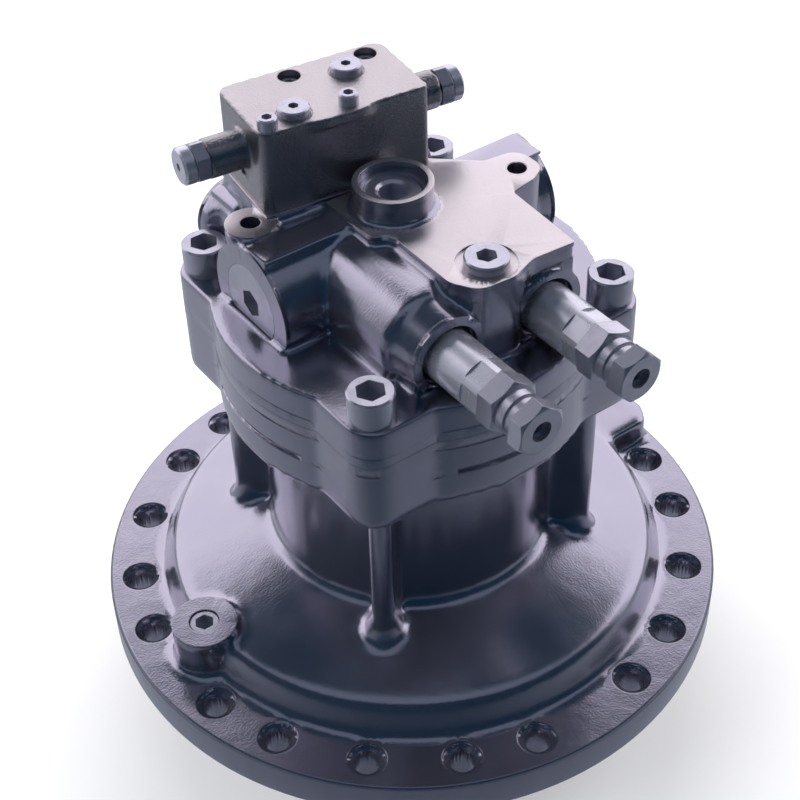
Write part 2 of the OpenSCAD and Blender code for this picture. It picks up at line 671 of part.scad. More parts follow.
// Brake: friction plates turn with the cylinder block, separator plates are keyed to the casing
module stack_z(i) translate([0, 0, plates_z + plate_gap + i * (plate_t + plate_gap)]) children();
module friction_plates() color(bronze) for (i = [0:friction_n - 1]) stack_z(2 * i + 1) difference() {
    ring(barrel_r + 0.3, plates_r - 2, 0, plate_t);
    for (k = [0:lugs_n - 1]) rotate(k * 360 / lugs_n)
        box([barrel_r - 4, -lug_w / 2 - 0.3, -eps], [lug_r + 0.3, lug_w / 2 + 0.3, plate_t + eps]);
}
module separator_plates() color(steel) for (i = [0:friction_n]) stack_z(2 * i) difference() {
    union() {
        along_z(plates_r - 0.3, 0, plate_t);
        for (k = [0:tabs_n - 1]) rotate(k * 360 / tabs_n)
            box([plates_r - 8, -tab_w / 2 + 0.2, 0], [tab_r - 0.2, tab_w / 2 - 0.2, plate_t]);
    }
    along_z(lug_r + 1, -eps, plate_t + eps);
}
seal_section = 1.6;
module brake_piston() color(machined) difference() {
    rotate_extrude() polygon([
        [lug_r + 1.5, stack_top_z], [plates_r - run, stack_top_z], [plates_r - run, brake_step_z + 1],
        [brake_r - run, brake_step_z + 3.2], [brake_r - run, brake_top_z - 1],
        [brake_r - 1 - run, brake_top_z], [lug_r + 1.5, brake_top_z]
    ]);
    for (g = [[plates_r, brake_step_z - 6], [brake_r, brake_step_z + 14]])
        ring(g[0] - 2 * seal_section - run, g[0] + eps, g[1] - seal_section - 0.1, g[1] + seal_section + 0.1);
    for (i = [0:brake_springs_n - 1]) rotate((i + 0.5) * 360 / brake_springs_n)
        translate([(lug_r + brake_r) / 2, 0, 0]) along_z(brake_spring_r + 0.3, brake_top_z - brake_spring_deep, brake_top_z + eps);
}
module brake_piston_seals() color(rubber) for (g = [[plates_r, brake_step_z - 6], [brake_r, brake_step_z + 14]])
    translate([0, 0, g[1]]) torus(g[0] - seal_section - 0.1, seal_section - 0.1);
module brake_springs() color(steel) for (i = [0:brake_springs_n - 1]) rotate((i + 0.5) * 360 / brake_springs_n)
    translate([(lug_r + brake_r) / 2, 0, 0])
        ring(brake_spring_r - 2, brake_spring_r, brake_top_z - brake_spring_deep + 0.05, joint_z - 0.05);

// Make-up valves; side 0 is the left one, side 1 the right one
module makeup_side(side) mirror([side, 0, 0]) at_cross() translate([-cross_end(side), 0, 0]) children();
module makeup_plug(side) color(paint_light) makeup_side(side) difference() {
    union() {
        along_x(makeup_plug_r, 0, makeup_plug_l - 1);
        along_x(8, 0, makeup_plug_l + 4);
    }
    rotate([0, -90, 0]) hex_z(17, -9, eps);
}
function plunger_x(side) = cross_end(side) - makeup_seat_x - plunger_l;
module makeup_plunger(side) color(steel) makeup_side(side) translate([plunger_x(side), 0, 0]) difference() {
    union() {
        along_x(makeup_bore_r - run, 0, plunger_l - 5);
        translate([plunger_l - 5.01, 0, 0]) rotate([0, 90, 0])
            cylinder(r1 = makeup_bore_r - run, r2 = 12.5, h = 4.8);
    }
    along_x(13, -eps, plunger_l - 9);
}
module makeup_spring(side) color(machined) makeup_side(side) difference() {
    along_x(12.5, makeup_plug_l - 0.8, plunger_x(side) + plunger_l - 9.2);
    along_x(10, makeup_plug_l - 2, plunger_x(side) + plunger_l);
}
module makeup_plug_left() makeup_plug(0);
module makeup_plug_right() makeup_plug(1);
module makeup_plunger_left() makeup_plunger(0);
module makeup_plunger_right() makeup_plunger(1);
module makeup_spring_left() makeup_spring(0);
module makeup_spring_right() makeup_spring(1);

// Relief valve cartridge: body with wrench flats, lock nut, adjuster, spring and poppet
module relief_body(side) color(paint) at_relief(side) difference() {
    along_y(relief_body_r, -relief_body_end, -relief_body_in);
    for (a = [0:60:300]) rotate([0, -a - 30 - relief_nut_turn[side < 0 ? 0 : 1], 0])
        box([relief_nut_af / 2 - 0.4, -relief_body_end - eps, -12], [relief_body_r + 2, -relief_body_end + 15, 12]);
    along_y(relief_bore_r, -relief_body_end - eps, -relief_body_in - 8);
    along_y(relief_bore_r - 3, -relief_body_in - 9, -relief_body_in + eps);
}
module relief_body_left() relief_body(-1);
module relief_body_right() relief_body(1);
// Stands on the body's end and points to -Y
module toward_front(y) translate([0, -y, 0]) rotate([90, 0, 0]) children();
module relief_lock_nuts() color(paint_light) for (s = [-1, 1]) at_relief(s) difference() {
    toward_front(relief_body_end) rotate(relief_nut_turn[s < 0 ? 0 : 1])
        hex_nut(relief_nut_af, relief_nut_end - relief_body_end, 1.5);
    along_y(relief_bore_r - 1, -relief_nut_end - eps, -relief_body_end + eps);
}
module relief_adjusters() color(paint_light) for (s = [-1, 1]) at_relief(s) difference() {
    union() {
        along_y(relief_bore_r - 1 - fit, -relief_nut_end - 1, -adjuster_in);
        toward_front(relief_nut_end) along_z(relief_neck_r + 1.5, 0, 7);
        toward_front(relief_nut_end) along_z(relief_neck_r, 0, relief_end - relief_nut_end - relief_hex_l + 1);
        toward_front(relief_end - relief_hex_l) rotate(relief_hex_turn[s < 0 ? 0 : 1])
            hex_nut(relief_hex_af, relief_hex_l, 2);
    }
    toward_front(relief_end) along_z(7, -5, eps);
    toward_front(relief_end) hex_z(10, -10, eps);
}
module relief_poppet(side) color(steel) at_relief(side) {
    along_y(relief_bore_r - 3 - run, -relief_body_in - 12, -relief_body_in - 1);
    along_y(relief_bore_r - run, -relief_body_in - poppet_l, -relief_body_in - 11);
    along_y(3.5, -relief_body_in - poppet_l - 8, -relief_body_in - poppet_l + 1);
}
module relief_poppet_left() relief_poppet(-1);
module relief_poppet_right() relief_poppet(1);
module relief_spring(side) color(machined) at_relief(side) difference() {
    along_y(relief_bore_r - 1, -adjuster_in + 0.1, -relief_body_in - poppet_l - 0.1);
    along_y(relief_bore_r - 4, -adjuster_in - 1, -relief_body_in - poppet_l + 1);
}
module relief_spring_left() relief_spring(-1);
module relief_spring_right() relief_spring(1);

// Anti-reaction valve block with its spool across it
block_plug_at = [[-29.3, -block_deep / 2 + 14.5], [22.3, block_deep / 2 - 23.5]];
module block_body() color(paint) at_block() difference() {
    union() {
        linear_extrude_at(plate_z, block_h) polygon(rounded([
            [-block_w / 2, -block_deep / 2, 8], [block_w / 2, -block_deep / 2, 4],
            [block_w / 2, block_deep / 2, 8], [-block_w / 2, block_deep / 2, 8]
        ]));
        // Lip under the front right screw
        linear_extrude_at(block_top - 7, 7) polygon(rounded([
            [-36.7, -block_deep / 2 + 2, 0], [-14.7, -block_deep / 2 - 2.8, 6], [11.3, -block_deep / 2 - 3.2, 6],
            [27.3, -block_deep / 2 + 2, 0]
        ]));
        at_spool() along_x(nose_r, -block_w / 2 - nose_left, block_w / 2 + nose_right);
    }
    at_spool() along_x(spool_d / 2, -block_w / 2 - nose_left - eps, block_w / 2 + nose_right + eps);
    at_spool() for (s = [[-block_w / 2 - nose_left, 1], [block_w / 2 + nose_right, -1]])
        translate([s[0], 0, 0]) rotate([0, s[1] * 90, 0]) along_z(9, -eps, 16);
    for (p = concat(front_screws, rear_screws)) translate(p) along_z(4.5, plate_z - eps, block_top + eps);
    for (p = rear_screws) translate(p) along_z(7.5, block_top - 12, block_top + eps);
    for (p = block_plug_at) translate(p) {
        along_z(11.5, block_top - 1, block_top + eps);
        along_z(7 + fit, block_top - 14, block_top);
    }
    for (p = seat_ports) translate(p) {
        along_z(4, plate_z - eps, spool_z);
        ring(5, 8.2, plate_z - eps, plate_z + 1.6);
    }
    translate([-block_w / 2, -2.5, plate_z + 16.5]) along_x(3, -eps, 6);
}
module block_screws() color(paint_light) at_block() {
    for (p = front_screws) translate([p.x, p.y, block_top]) cap_screw(4, block_h + 20, 6.5, 8, 6);
    for (p = rear_screws) translate([p.x, p.y, block_top - 12]) cap_screw(4, block_h + 8, 6.5, 8, 6);
}
module block_plugs() color(paint_light) at_block() for (p = block_plug_at) translate([p.x, p.y, block_top - 1])
    socket_plug(7, 12, 10.3, 6.5, 6, 7);
module block_o_rings() color(rubber) at_block() for (p = seat_ports) translate([p.x, p.y, plate_z + 0.8]) torus(6.6, 0.78);
module spool() color(steel) at_block() at_spool() difference() {
    translate([spool_x, 0, 0]) along_x(spool_d / 2 - run, -spool_half, spool_half);
    for (x = [-22, -2, 18]) translate([spool_x + x, 0, 0]) rotate([0, 90, 0])
        ring(spool_d / 2 - 2, spool_d, 0, 8);
}
module spool_springs() color(machined) at_block() at_spool() {
    for (x = [
        [-block_w / 2 - nose_left + 6.1, spool_x - spool_half - 0.1],
        [spool_x + spool_half + 0.1, block_w / 2 + nose_right - 6.1]
    ]) difference() {
        along_x(spool_d / 2 - 0.4, x[0], x[1]);
        along_x(spool_d / 2 - 2, x[0] - 1, x[1] + 1);
    }
}
// Screwed into the end of the cast nose: shank, hexagon and round cap
module spool_nut() difference() {
    union() {
        along_z(9 - fit, -6, 1);
        intersection() {
            hex_nut(spool_nut_af, spool_nut_l, 0.8);
            along_z(nose_r + 0.3, 0, spool_nut_l);
        }
    }
    along_z(4.5, -7, spool_nut_l + 1);
}
module spool_cap() difference() {
    union() {
        along_z(4.4, -5, 1);
        rotate_extrude() polygon([[0, 0], [nose_r - 1.2, 0], [nose_r - 0.7, 0.5], [nose_r - 0.7, spool_cap_l - 1.5], [nose_r - 2.2, spool_cap_l], [0, spool_cap_l]]);
    }
    hex_z(5, spool_cap_l - 4, spool_cap_l + eps);
}
module spool_end(side, lift) at_block() at_spool()
    translate([side < 0 ? -block_w / 2 - nose_left : block_w / 2 + nose_right, 0, 0])
        rotate([0, side * 90, 0]) translate([0, 0, lift]) children();
module spool_nut_left() color(paint_light) spool_end(-1, 0.1) spool_nut();
module spool_nut_right() color(paint_light) spool_end(1, 0.1) spool_nut();
module spool_cap_left() color(paint) spool_end(-1, spool_nut_l + 0.2) spool_cap();
module spool_cap_right() color(paint) spool_end(1, spool_nut_l + 0.2) spool_cap();

casing();
valve_casing();
casing_bolts();
casing_dowels();
casing_o_ring();
filler_plug();
seal_carrier();
retaining_ring();
oil_seal();
front_bearing_outer_race();
front_bearing_rollers();
front_bearing_inner_race();
rear_bearing_outer_race();
rear_bearing_rollers();
rear_bearing_inner_race();
drive_shaft();
shoe_plate();
piston_shoes();
retainer_plate();
spherical_bush();
bush_springs();
pistons();
cylinder_block();
valve_plate();
friction_plates();
separator_plates();
brake_piston();
brake_piston_seals();
brake_springs();
centre_plug();
top_plug();
makeup_plug_left();
makeup_plug_right();
makeup_spring_left();
makeup_spring_right();
makeup_plunger_left();
makeup_plunger_right();
relief_body_left();
relief_body_right();
relief_lock_nuts();
relief_adjusters();
relief_spring_left();
relief_spring_right();
relief_poppet_left();
relief_poppet_right();
block_body();
block_screws();
block_plugs();
block_o_rings();
spool();
spool_springs();
spool_nut_left();
spool_nut_right();
spool_cap_left();
spool_cap_right();
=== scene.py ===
"""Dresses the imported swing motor: cast housings, wound springs, finishes, studio and camera.

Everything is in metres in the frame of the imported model: +Z runs up the shaft from the
mounting face, and the relief valves point to -Y.
"""

import json
import logging
import math
from dataclasses import dataclass, field
from enum import Enum
from typing import Any, Iterable

import bpy
from mathutils import Matrix, Vector


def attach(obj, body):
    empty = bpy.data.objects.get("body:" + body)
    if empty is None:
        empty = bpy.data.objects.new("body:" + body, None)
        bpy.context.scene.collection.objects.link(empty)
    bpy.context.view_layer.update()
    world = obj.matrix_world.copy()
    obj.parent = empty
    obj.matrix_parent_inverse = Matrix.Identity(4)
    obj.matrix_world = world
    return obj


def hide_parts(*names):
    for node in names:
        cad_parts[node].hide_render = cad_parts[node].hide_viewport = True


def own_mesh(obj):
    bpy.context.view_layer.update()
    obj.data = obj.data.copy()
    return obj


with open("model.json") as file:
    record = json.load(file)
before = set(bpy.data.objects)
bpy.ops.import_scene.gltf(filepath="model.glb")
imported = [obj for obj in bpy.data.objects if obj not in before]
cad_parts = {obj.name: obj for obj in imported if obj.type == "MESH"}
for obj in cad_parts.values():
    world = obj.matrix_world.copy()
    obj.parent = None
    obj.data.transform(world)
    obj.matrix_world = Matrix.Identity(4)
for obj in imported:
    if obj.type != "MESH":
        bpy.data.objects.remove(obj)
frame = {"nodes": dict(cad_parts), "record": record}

LOG = logging.getLogger("swing_motor")
MM = 0.001
SHARP = math.radians(32.0)
WHITE = (1.0, 1.0, 1.0)
Colour = tuple[float, float, float]
Point = tuple[float, float, float]
Spot = tuple[float, float]
Bore = tuple[float, float, float]


class Wire:
    """A node socket whose operators add the Math nodes they stand for."""

    def __init__(self, bench: "Bench", socket: bpy.types.NodeSocket) -> None:
        """Wraps one output socket.

        Args:
            bench: The bench whose tree the socket belongs to.
            socket: The output socket.
        """
        self.bench = bench
        self.socket = socket

    def _math(self, operation: str, *values: Any) -> "Wire":
        """Adds one Math node fed by the given values."""
        return self.bench.node("ShaderNodeMath", {"operation": operation}, dict(enumerate(values)))

    def __add__(self, other: Any) -> "Wire":
        """Sum."""
        return self._math("ADD", self, other)

    __radd__ = __add__

    def __sub__(self, other: Any) -> "Wire":
        """Difference."""
        return self._math("SUBTRACT", self, other)

    def __rsub__(self, other: Any) -> "Wire":
        """Reflected difference."""
        return self._math("SUBTRACT", other, self)

    def __mul__(self, other: Any) -> "Wire":
        """Product."""
        return self._math("MULTIPLY", self, other)

    __rmul__ = __mul__

    def near(self, value: float, reach: float) -> "Wire":
        """One within reach of the value, otherwise zero."""
        return self._math("COMPARE", self, value, reach)

    def ramp(self, low: float, high: float) -> "Wire":
        """Runs smoothly from 0 at low to 1 at high."""
        return self.bench.node(
            "ShaderNodeMapRange",
            {"interpolation_type": "SMOOTHSTEP"},
            {"Value": self, "From Min": low, "From Max": high},
        )


class Bench:
    """Adds nodes to one node tree."""

    def __init__(self, tree: bpy.types.NodeTree) -> None:
        """Empties the tree to start with.

        Args:
            tree: The tree of a material or of the world.
        """
        self.tree = tree
        self.tree.nodes.clear()

    def node(
        self,
        kind: str,
        settings: dict[str, Any] | None = None,
        inputs: dict[Any, Any] | None = None,
        out: Any = 0,
    ) -> Wire:
        """Adds a node.

        Args:
            kind: The node's type.
            settings: Its attributes, set before its sockets.
            inputs: Socket name or index to a value or a Wire.
            out: The output that is returned.

        Returns:
            The wanted output.
        """
        made = self.tree.nodes.new(kind)
        for key, value in (settings or {}).items():
            setattr(made, key, value)
        for key, value in (inputs or {}).items():
            if isinstance(value, Wire):
                self.tree.links.new(value.socket, made.inputs[key])
            else:
                made.inputs[key].default_value = value
        return Wire(self, made.outputs[out])

    def mix(self, share: Any, low: Any, high: Any) -> Wire:
        """Mixes two colours."""
        wide = [(*c, 1.0) if isinstance(c, tuple) else c for c in (low, high)]
        return self.node(
            "ShaderNodeMix", {"data_type": "RGBA"}, {0: share, 6: wide[0], 7: wide[1]}, out=2
        )

    def split(self, vector: Wire) -> tuple[Wire, Wire, Wire]:
        """The three parts of a vector."""
        apart = self.node("ShaderNodeSeparateXYZ", None, {0: vector})
        outs = apart.socket.node.outputs
        return Wire(self, outs[0]), Wire(self, outs[1]), Wire(self, outs[2])

    def vector(self, operation: str, *values: Any) -> Wire:
        """Works on whole vectors."""
        return self.node("ShaderNodeVectorMath", {"operation": operation}, dict(enumerate(values)))

    def ray(self, kind: str) -> Wire:
        """One for rays of a kind, such as Is Camera Ray, otherwise zero."""
        return self.node("ShaderNodeLightPath", out=kind)

    def blend(self, share: Wire, low: Wire, high: Wire) -> Wire:
        """Blends two shaders."""
        return self.node("ShaderNodeMixShader", None, {0: share, 1: low, 2: high})

    def glow(self, kind: str, colour: Any, strength: float = 1.0) -> Wire:
        """A shader that gives light: Emission on a surface, Background in the world.

        Args:
            kind: The shader's type.
            colour: A plain colour or a Wire.
            strength: How strong it is.

        Returns:
            The shader.
        """
        tint = (*colour, 1.0) if isinstance(colour, tuple) else colour
        return self.node(kind, None, {"Color": tint, "Strength": strength})

    def close(self, shader: Wire, kind: str = "ShaderNodeOutputMaterial") -> None:
        """Links the shader to the tree's output."""
        output = self.tree.nodes.new(kind)
        self.tree.links.new(shader.socket, output.inputs[0])


class FinishBench(Bench):
    """Builds one material's nodes."""

    def __init__(self, name: str) -> None:
        """Starts an empty node material.

        Args:
            name: The material's name.
        """
        self.material = bpy.data.materials.new(name)
        self.material.use_nodes = True
        super().__init__(self.material.node_tree)
        self.place = self.node("ShaderNodeTexCoord", out="Object")

    def noise(self, size_mm: float, detail: float = 2.0, rough: float = 0.5) -> Wire:
        """Noise whose lumps are about size_mm across."""
        return self.node(
            "ShaderNodeTexNoise",
            None,
            {"Vector": self.place, "Scale": 1.0 / (size_mm * MM), "Detail": detail, "Roughness": rough},
        )

    def normal(self) -> Wire:
        """The normal of the face itself, before any smoothing."""
        return self.node("ShaderNodeNewGeometry", out="True Normal")

    def bump(self, height: Wire, depth_mm: float, on: Wire | None = None) -> Wire:
        """A bumped normal from a height of 0 to 1."""
        sockets: dict[Any, Any] = {"Height": height, "Distance": depth_mm * MM, "Strength": 1.0}
        if on is not None:
            sockets["Normal"] = on
        return self.node("ShaderNodeBump", None, sockets)

    def edge_round(self, radius_mm: float) -> Wire:
        """A normal that rounds sharp edges."""
        return self.node("ShaderNodeBevel", {"samples": 4}, {"Radius": radius_mm * MM})

    def finish(self, **sockets: Any) -> bpy.types.Material:
        """Adds the surface shader.

        Args:
            **sockets: Shader sockets, with underscores for blanks.

        Returns:
            The finished material.
        """
        named = {key.replace("_", " "): value for key, value in sockets.items()}
        self.close(self.node("ShaderNodeBsdfPrincipled", None, named))
        return self.material


def shaded(colour: Colour, share: float) -> Colour:
    """A colour made lighter or darker by one factor."""
    return colour[0] * share, colour[1] * share, colour[2] * share


class Skin(Enum):
    """How coarse a painted casting's skin is."""

    FINE = 0.10
    COARSE = 0.42


@dataclass(frozen=True)
class HousingPaint:
    """Glossy charcoal paint over cast iron, paler on machined faces and, as a painted highlight, on a
    cast top.

    Each flat is the height of an up-facing face over the mounting face and its reach, in mm: a machined
    face, or a cast top whose pale colour is a painted highlight.
    """

    colour: Colour = (0.360, 0.355, 0.435)
    worn: Colour = (0.400, 0.390, 0.460)
    # Pale colour of the flats: machined metal, and a painted highlight where a flat is a cast top.
    machined: Colour = (0.620, 0.580, 0.600)
    machined_and_highlight_flats: tuple[tuple[float, float], ...] = ()
    skin: Skin = Skin.FINE
    grain_mm: float = 1.5
    wave_mm: float = 26.0
    wave_depth_mm: float = 0.25
    rough: float = 0.12
    patch_mm: float = 45.0
    dust_mm: float = 6.0
    edge_mm: float = 1.2

    def build(self, name: str) -> bpy.types.Material:
        """Makes the material.

        Args:
            name: The material's name.

        Returns:
            The paint.
        """
        bench = FinishBench(name)
        patches = bench.noise(self.patch_mm, 2.0, 0.5).ramp(0.35, 0.70)
        grain = bench.noise(self.grain_mm, 3.0, 0.6)
        wave = bench.noise(self.wave_mm, 2.0)
        up = bench.split(bench.normal())[2].ramp(0.97, 0.995)
        height = bench.split(bench.place)[2]
        # The flats are up-facing faces at the listed heights: machined faces, and cast tops whose paler
        # colour is a painted highlight.
        flat = up * 0.0
        for level, reach in self.machined_and_highlight_flats:
            flat = flat + height.near(level * MM, reach * MM) * up
        dust = bench.noise(self.dust_mm, 4.0, 0.7).ramp(0.50, 0.80)
        cast = bench.mix(patches * 0.6, self.colour, self.worn)
        # The flats' pale colour with random dust: machined metal, and a painted highlight on cast tops.
        face = bench.mix(dust * 0.3, self.machined, shaded(self.machined, 0.82))
        lumps = bench.bump(wave, self.wave_depth_mm, on=bench.edge_round(self.edge_mm))
        return bench.finish(
            Base_Color=bench.mix(flat, cast, face),
            Metallic=0.94,
            Roughness=self.rough + patches * 0.04 + grain * 0.06 + flat * 0.16,
            Normal=bench.bump(grain, self.skin.value, on=lumps),
            Coat_Weight=0.3,
            Coat_Roughness=0.10,
        )


@dataclass(frozen=True)
class Steel:
    """Machined or painted steel with a fine grain."""

    colour: Colour
    metallic: float = 1.0
    rough: float = 0.30
    grain_mm: float = 0.9
    depth_mm: float = 0.03
    edge_mm: float = 0.5
    coat: float = 0.0
    patch_mm: float = 14.0

    def build(self, name: str) -> bpy.types.Material:
        """Makes the material.

        Args:
            name: The material's name.

        Returns:
            The metal.
        """
        bench = FinishBench(name)
        shade = bench.noise(self.patch_mm, 3.0, 0.6).ramp(0.35, 0.75)
        grain = bench.noise(self.grain_mm, 2.0, 0.6)
        return bench.finish(
            Base_Color=bench.mix(shade, self.colour, shaded(self.colour, 0.88)),
            Metallic=self.metallic,
            Roughness=self.rough + shade * 0.04 + grain * 0.05,
            Normal=bench.bump(grain, self.depth_mm, on=bench.edge_round(self.edge_mm)),
            Coat_Weight=self.coat,
            Coat_Roughness=0.15,
        )


@dataclass(frozen=True)
class SealRubber:
    """Black nitrile rubber."""

    colour: Colour = (0.020, 0.020, 0.021)
    rough: float = 0.48
    grain_mm: float = 0.8
    depth_mm: float = 0.02

    def build(self, name: str) -> bpy.types.Material:
        """Makes the material.

        Args:
            name: The material's name.

        Returns:
            The rubber.
        """
        bench = FinishBench(name)
        grain = bench.noise(self.grain_mm, 2.0)
        return bench.finish(
            Base_Color=bench.mix(grain, self.colour, shaded(self.colour, 1.6)),
            Roughness=self.rough + grain * 0.12,
            Normal=bench.bump(grain, self.depth_mm),
        )


@dataclass(frozen=True)
class Softbox:
    """A rectangular area light that looks at a point."""

    name: str
    place: Point
    target: Point
    width: float
    height: float
    power: float
    tint: Colour = WHITE

    def build(self) -> None:
        """Adds the light."""
        data = bpy.data.lights.new(self.name, "AREA")
        data.shape = "RECTANGLE"
        data.size = self.width
        data.size_y = self.height
        data.energy = self.power
        data.color = self.tint
        lamp = bpy.data.objects.new(self.name, data)
        lamp.visible_glossy = False
        bpy.context.scene.collection.objects.link(lamp)
        lamp.location = self.place
        away = Vector(self.place) - Vector(self.target)
        lamp.rotation_euler = away.to_track_quat("Z", "Y").to_euler()


@dataclass(frozen=True)
class Studio:
    """Pale floor, soft light and the camera of the photograph.

    The sky has three tones: bright behind the motor, dusk on the camera's side, and a strip
    between them high up. Each fade says where one gives way to the next, by how far a
    direction rises or points to the camera's side. The floor's tone in reflections fades
    likewise, by how its places lie from a seat a little ahead of the shaft.
    """

    floor_z: float = -0.060
    floor_half: float = 6.0
    floor_grey: float = 0.62
    floor_lift: float = 0.36
    dusk: Colour = (0.006, 0.032, 0.064)
    bright: Colour = (1.52, 1.44, 1.54)
    strip: Colour = (0.20, 0.24, 0.30)
    ground: Colour = (0.46, 0.48, 0.54)
    bright_rise: tuple[float, float] = (0.70, 0.80)
    bright_side: tuple[float, float] = (-0.35, 0.10)
    strip_rise: tuple[float, float] = (0.55, 0.75)
    strip_start: tuple[float, float] = (-0.10, 0.05)
    strip_end: tuple[float, float] = (0.45, 0.62)
    floor_fade: tuple[float, float] = (-0.80, 1.30)
    floor_seat_ahead: float = 0.10
    floor_seat_height: float = 0.30
    camera_place: Point = (-0.5039, -0.7039, 0.9300)
    camera_target: Point = (0.0, 0.0, 0.16812)
    camera_roll_deg: float = -1.43
    focal_px: float = 1655.58
    frame_px: float = 800.0
    shift_px: float = 7.85
    sensor_mm: float = 36.0
    lights: tuple[Softbox, ...] = (
        Softbox("back_softbox", (0.9, 1.7, 1.5), (0.0, 0.0, 0.2), 2.6, 1.6, 62.0, (1.0, 0.99, 1.0)),
        Softbox("left_softbox", (-1.9, 0.5, 1.1), (0.0, 0.0, 0.15), 1.6, 1.4, 30.0, (0.97, 0.97, 1.0)),
        Softbox("right_softbox", (1.8, -0.7, 1.3), (0.0, 0.0, 0.15), 1.3, 1.2, 22.0, (1.0, 0.98, 0.97)),
    )

    def build(self) -> None:
        """Sets up the floor, the lights, the world and the camera."""
        self._floor()
        self._world()
        for light in self.lights:
            light.build()
        self._camera()
        bpy.context.scene.view_settings.view_transform = "Standard"

    def _view_flat(self) -> Vector:
        """The level direction from the motor to the camera."""
        seat = Vector(self.camera_place) - Vector(self.camera_target)
        return Vector((seat.x, seat.y, 0.0)).normalized()

    def _towards_camera(self, across: Wire, along: Wire) -> Wire:
        """How far a direction points to the camera's side, from -1 to 1.

        Args:
            across: The direction's X part.
            along: Its Y part.

        Returns:
            The share.
        """
        flat = self._view_flat()
        return across * flat.x + along * flat.y

    def _floor(self) -> None:
        """Lays the floor, which stays pale to the camera and keeps the shadow."""
        bpy.ops.object.select_all(action="DESELECT")
        bpy.ops.mesh.primitive_plane_add(size=2 * self.floor_half, location=(0.0, 0.0, self.floor_z))
        floor = bpy.context.active_object
        floor.name = "studio_floor"
        bpy.ops.object.transform_apply(location=True, rotation=True, scale=True)
        bench = FinishBench("studio_floor_paint")
        grey = (*shaded(WHITE, self.floor_grey), 1.0)
        matt = bench.node("ShaderNodeBsdfDiffuse", None, {"Color": grey})
        lift = bench.glow("ShaderNodeEmission", WHITE, self.floor_lift)
        lifted = bench.node("ShaderNodeAddShader", None, {0: matt, 1: lift})
        shown = bench.blend(bench.ray("Is Camera Ray"), matt, lifted)
        seat = self._view_flat() * self.floor_seat_ahead
        seat.z = self.floor_z + self.floor_seat_height
        way = bench.vector("NORMALIZE", bench.vector("SUBTRACT", bench.place, seat))
        across, along, _ = bench.split(way)
        fade = self._towards_camera(across, along).ramp(*self.floor_fade)
        mirrored = bench.glow("ShaderNodeEmission", bench.mix(fade, self.ground, self.dusk))
        bench.close(bench.blend(bench.ray("Is Glossy Ray"), shown, mirrored))
        floor.data.materials.append(bench.material)

    def _world(self) -> None:
        """White to the camera, soft light for the rest, dark towards the camera in reflections."""
        world = bpy.data.worlds.new("studio_world")
        bpy.context.scene.world = world
        world.use_nodes = True
        bench = Bench(world.node_tree)
        across, along, rise = bench.split(bench.node("ShaderNodeTexCoord", out="Generated"))
        towards = self._towards_camera(across, along)
        behind = (1.0 - rise.ramp(*self.bright_rise)) * (1.0 - towards.ramp(*self.bright_side))
        above = rise.ramp(*self.strip_rise) * towards.ramp(*self.strip_start)
        above = above * (1.0 - towards.ramp(*self.strip_end))
        sky = bench.mix(behind, bench.mix(above, self.dusk, self.strip), self.bright)
        surround = bench.glow("ShaderNodeBackground", sky)
        pale = bench.glow("ShaderNodeBackground", WHITE)
        shown = bench.blend(bench.ray("Is Camera Ray"), surround, pale)
        bench.close(shown, "ShaderNodeOutputWorld")

    def _camera(self) -> None:
        """Puts the camera where the photograph was taken from."""
        data = bpy.data.cameras.new("photo_camera")
        data.sensor_width = self.sensor_mm
        data.lens = self.focal_px / self.frame_px * data.sensor_width
        data.shift_x = -self.shift_px / self.frame_px
        data.clip_start = 0.01
        data.clip_end = 100.0
        camera = bpy.data.objects.new("photo_camera", data)
        bpy.context.scene.collection.objects.link(camera)
        away = Vector(self.camera_place) - Vector(self.camera_target)
        aim = away.to_track_quat("Z", "Y").to_matrix()
        roll = Matrix.Rotation(math.radians(self.camera_roll_deg), 3, "Z")
        camera.rotation_euler = (aim @ roll).to_euler()
        camera.location = self.camera_place
        bpy.context.scene.camera = camera


class Finish(Enum):
    """The motor's finishes, by the names of their materials."""

    CASING = "casing_paint"
    VALVE_CASING = "valve_casing_paint"
    BLOCK = "block_paint"
    FITTING = "fitting_paint"
    FASTENER = "fastener_paint"
    MACHINED = "machined_steel"
    GROUND = "ground_steel"
    BRONZE = "bearing_bronze"
    RUBBER = "seal_rubber"


PLATE_Z = 332.0
# Halfway between the drain boss's face and the top plug's spot-face, which both are in reach.
LOW_FACES_Z = 330.2
BOSS_RIM_Z = 350.0
BLOCK_TOP_Z = 390.0
RECIPES: dict[Finish, HousingPaint | Steel | SealRubber] = {
    Finish.CASING: HousingPaint(),
    Finish.VALVE_CASING: HousingPaint(machined_and_highlight_flats=((PLATE_Z, 0.6), (BOSS_RIM_Z, 0.6), (LOW_FACES_Z, 0.5))),
    Finish.BLOCK: HousingPaint(
        (0.30, 0.29, 0.31),
        (0.34, 0.33, 0.35),
        # The block's top is cast, not machined: this pale colour on its top flat is a painted highlight.
        (0.54, 0.51, 0.53),
        machined_and_highlight_flats=((BLOCK_TOP_Z, 1.0),),
        skin=Skin.COARSE,
        rough=0.15,
    ),
    Finish.FITTING: Steel((0.540, 0.550, 0.620), 0.70, 0.22, coat=0.3),
    Finish.FASTENER: Steel((0.460, 0.460, 0.540), 0.80, 0.20, coat=0.3),
    Finish.MACHINED: Steel((0.42, 0.42, 0.44)),
    Finish.GROUND: Steel((0.62, 0.62, 0.64), rough=0.18, depth_mm=0.01),
    Finish.BRONZE: Steel((0.55, 0.38, 0.20)),
    Finish.RUBBER: SealRubber(),
}
SLOT_FINISH = {
    "painted_cast_iron": Finish.CASING,
    "painted_steel": Finish.FITTING,
    "painted_fastener": Finish.FASTENER,
    "machined_steel": Finish.MACHINED,
    "bearing_steel": Finish.GROUND,
    "bearing_bronze": Finish.BRONZE,
    "seal_rubber": Finish.RUBBER,
}


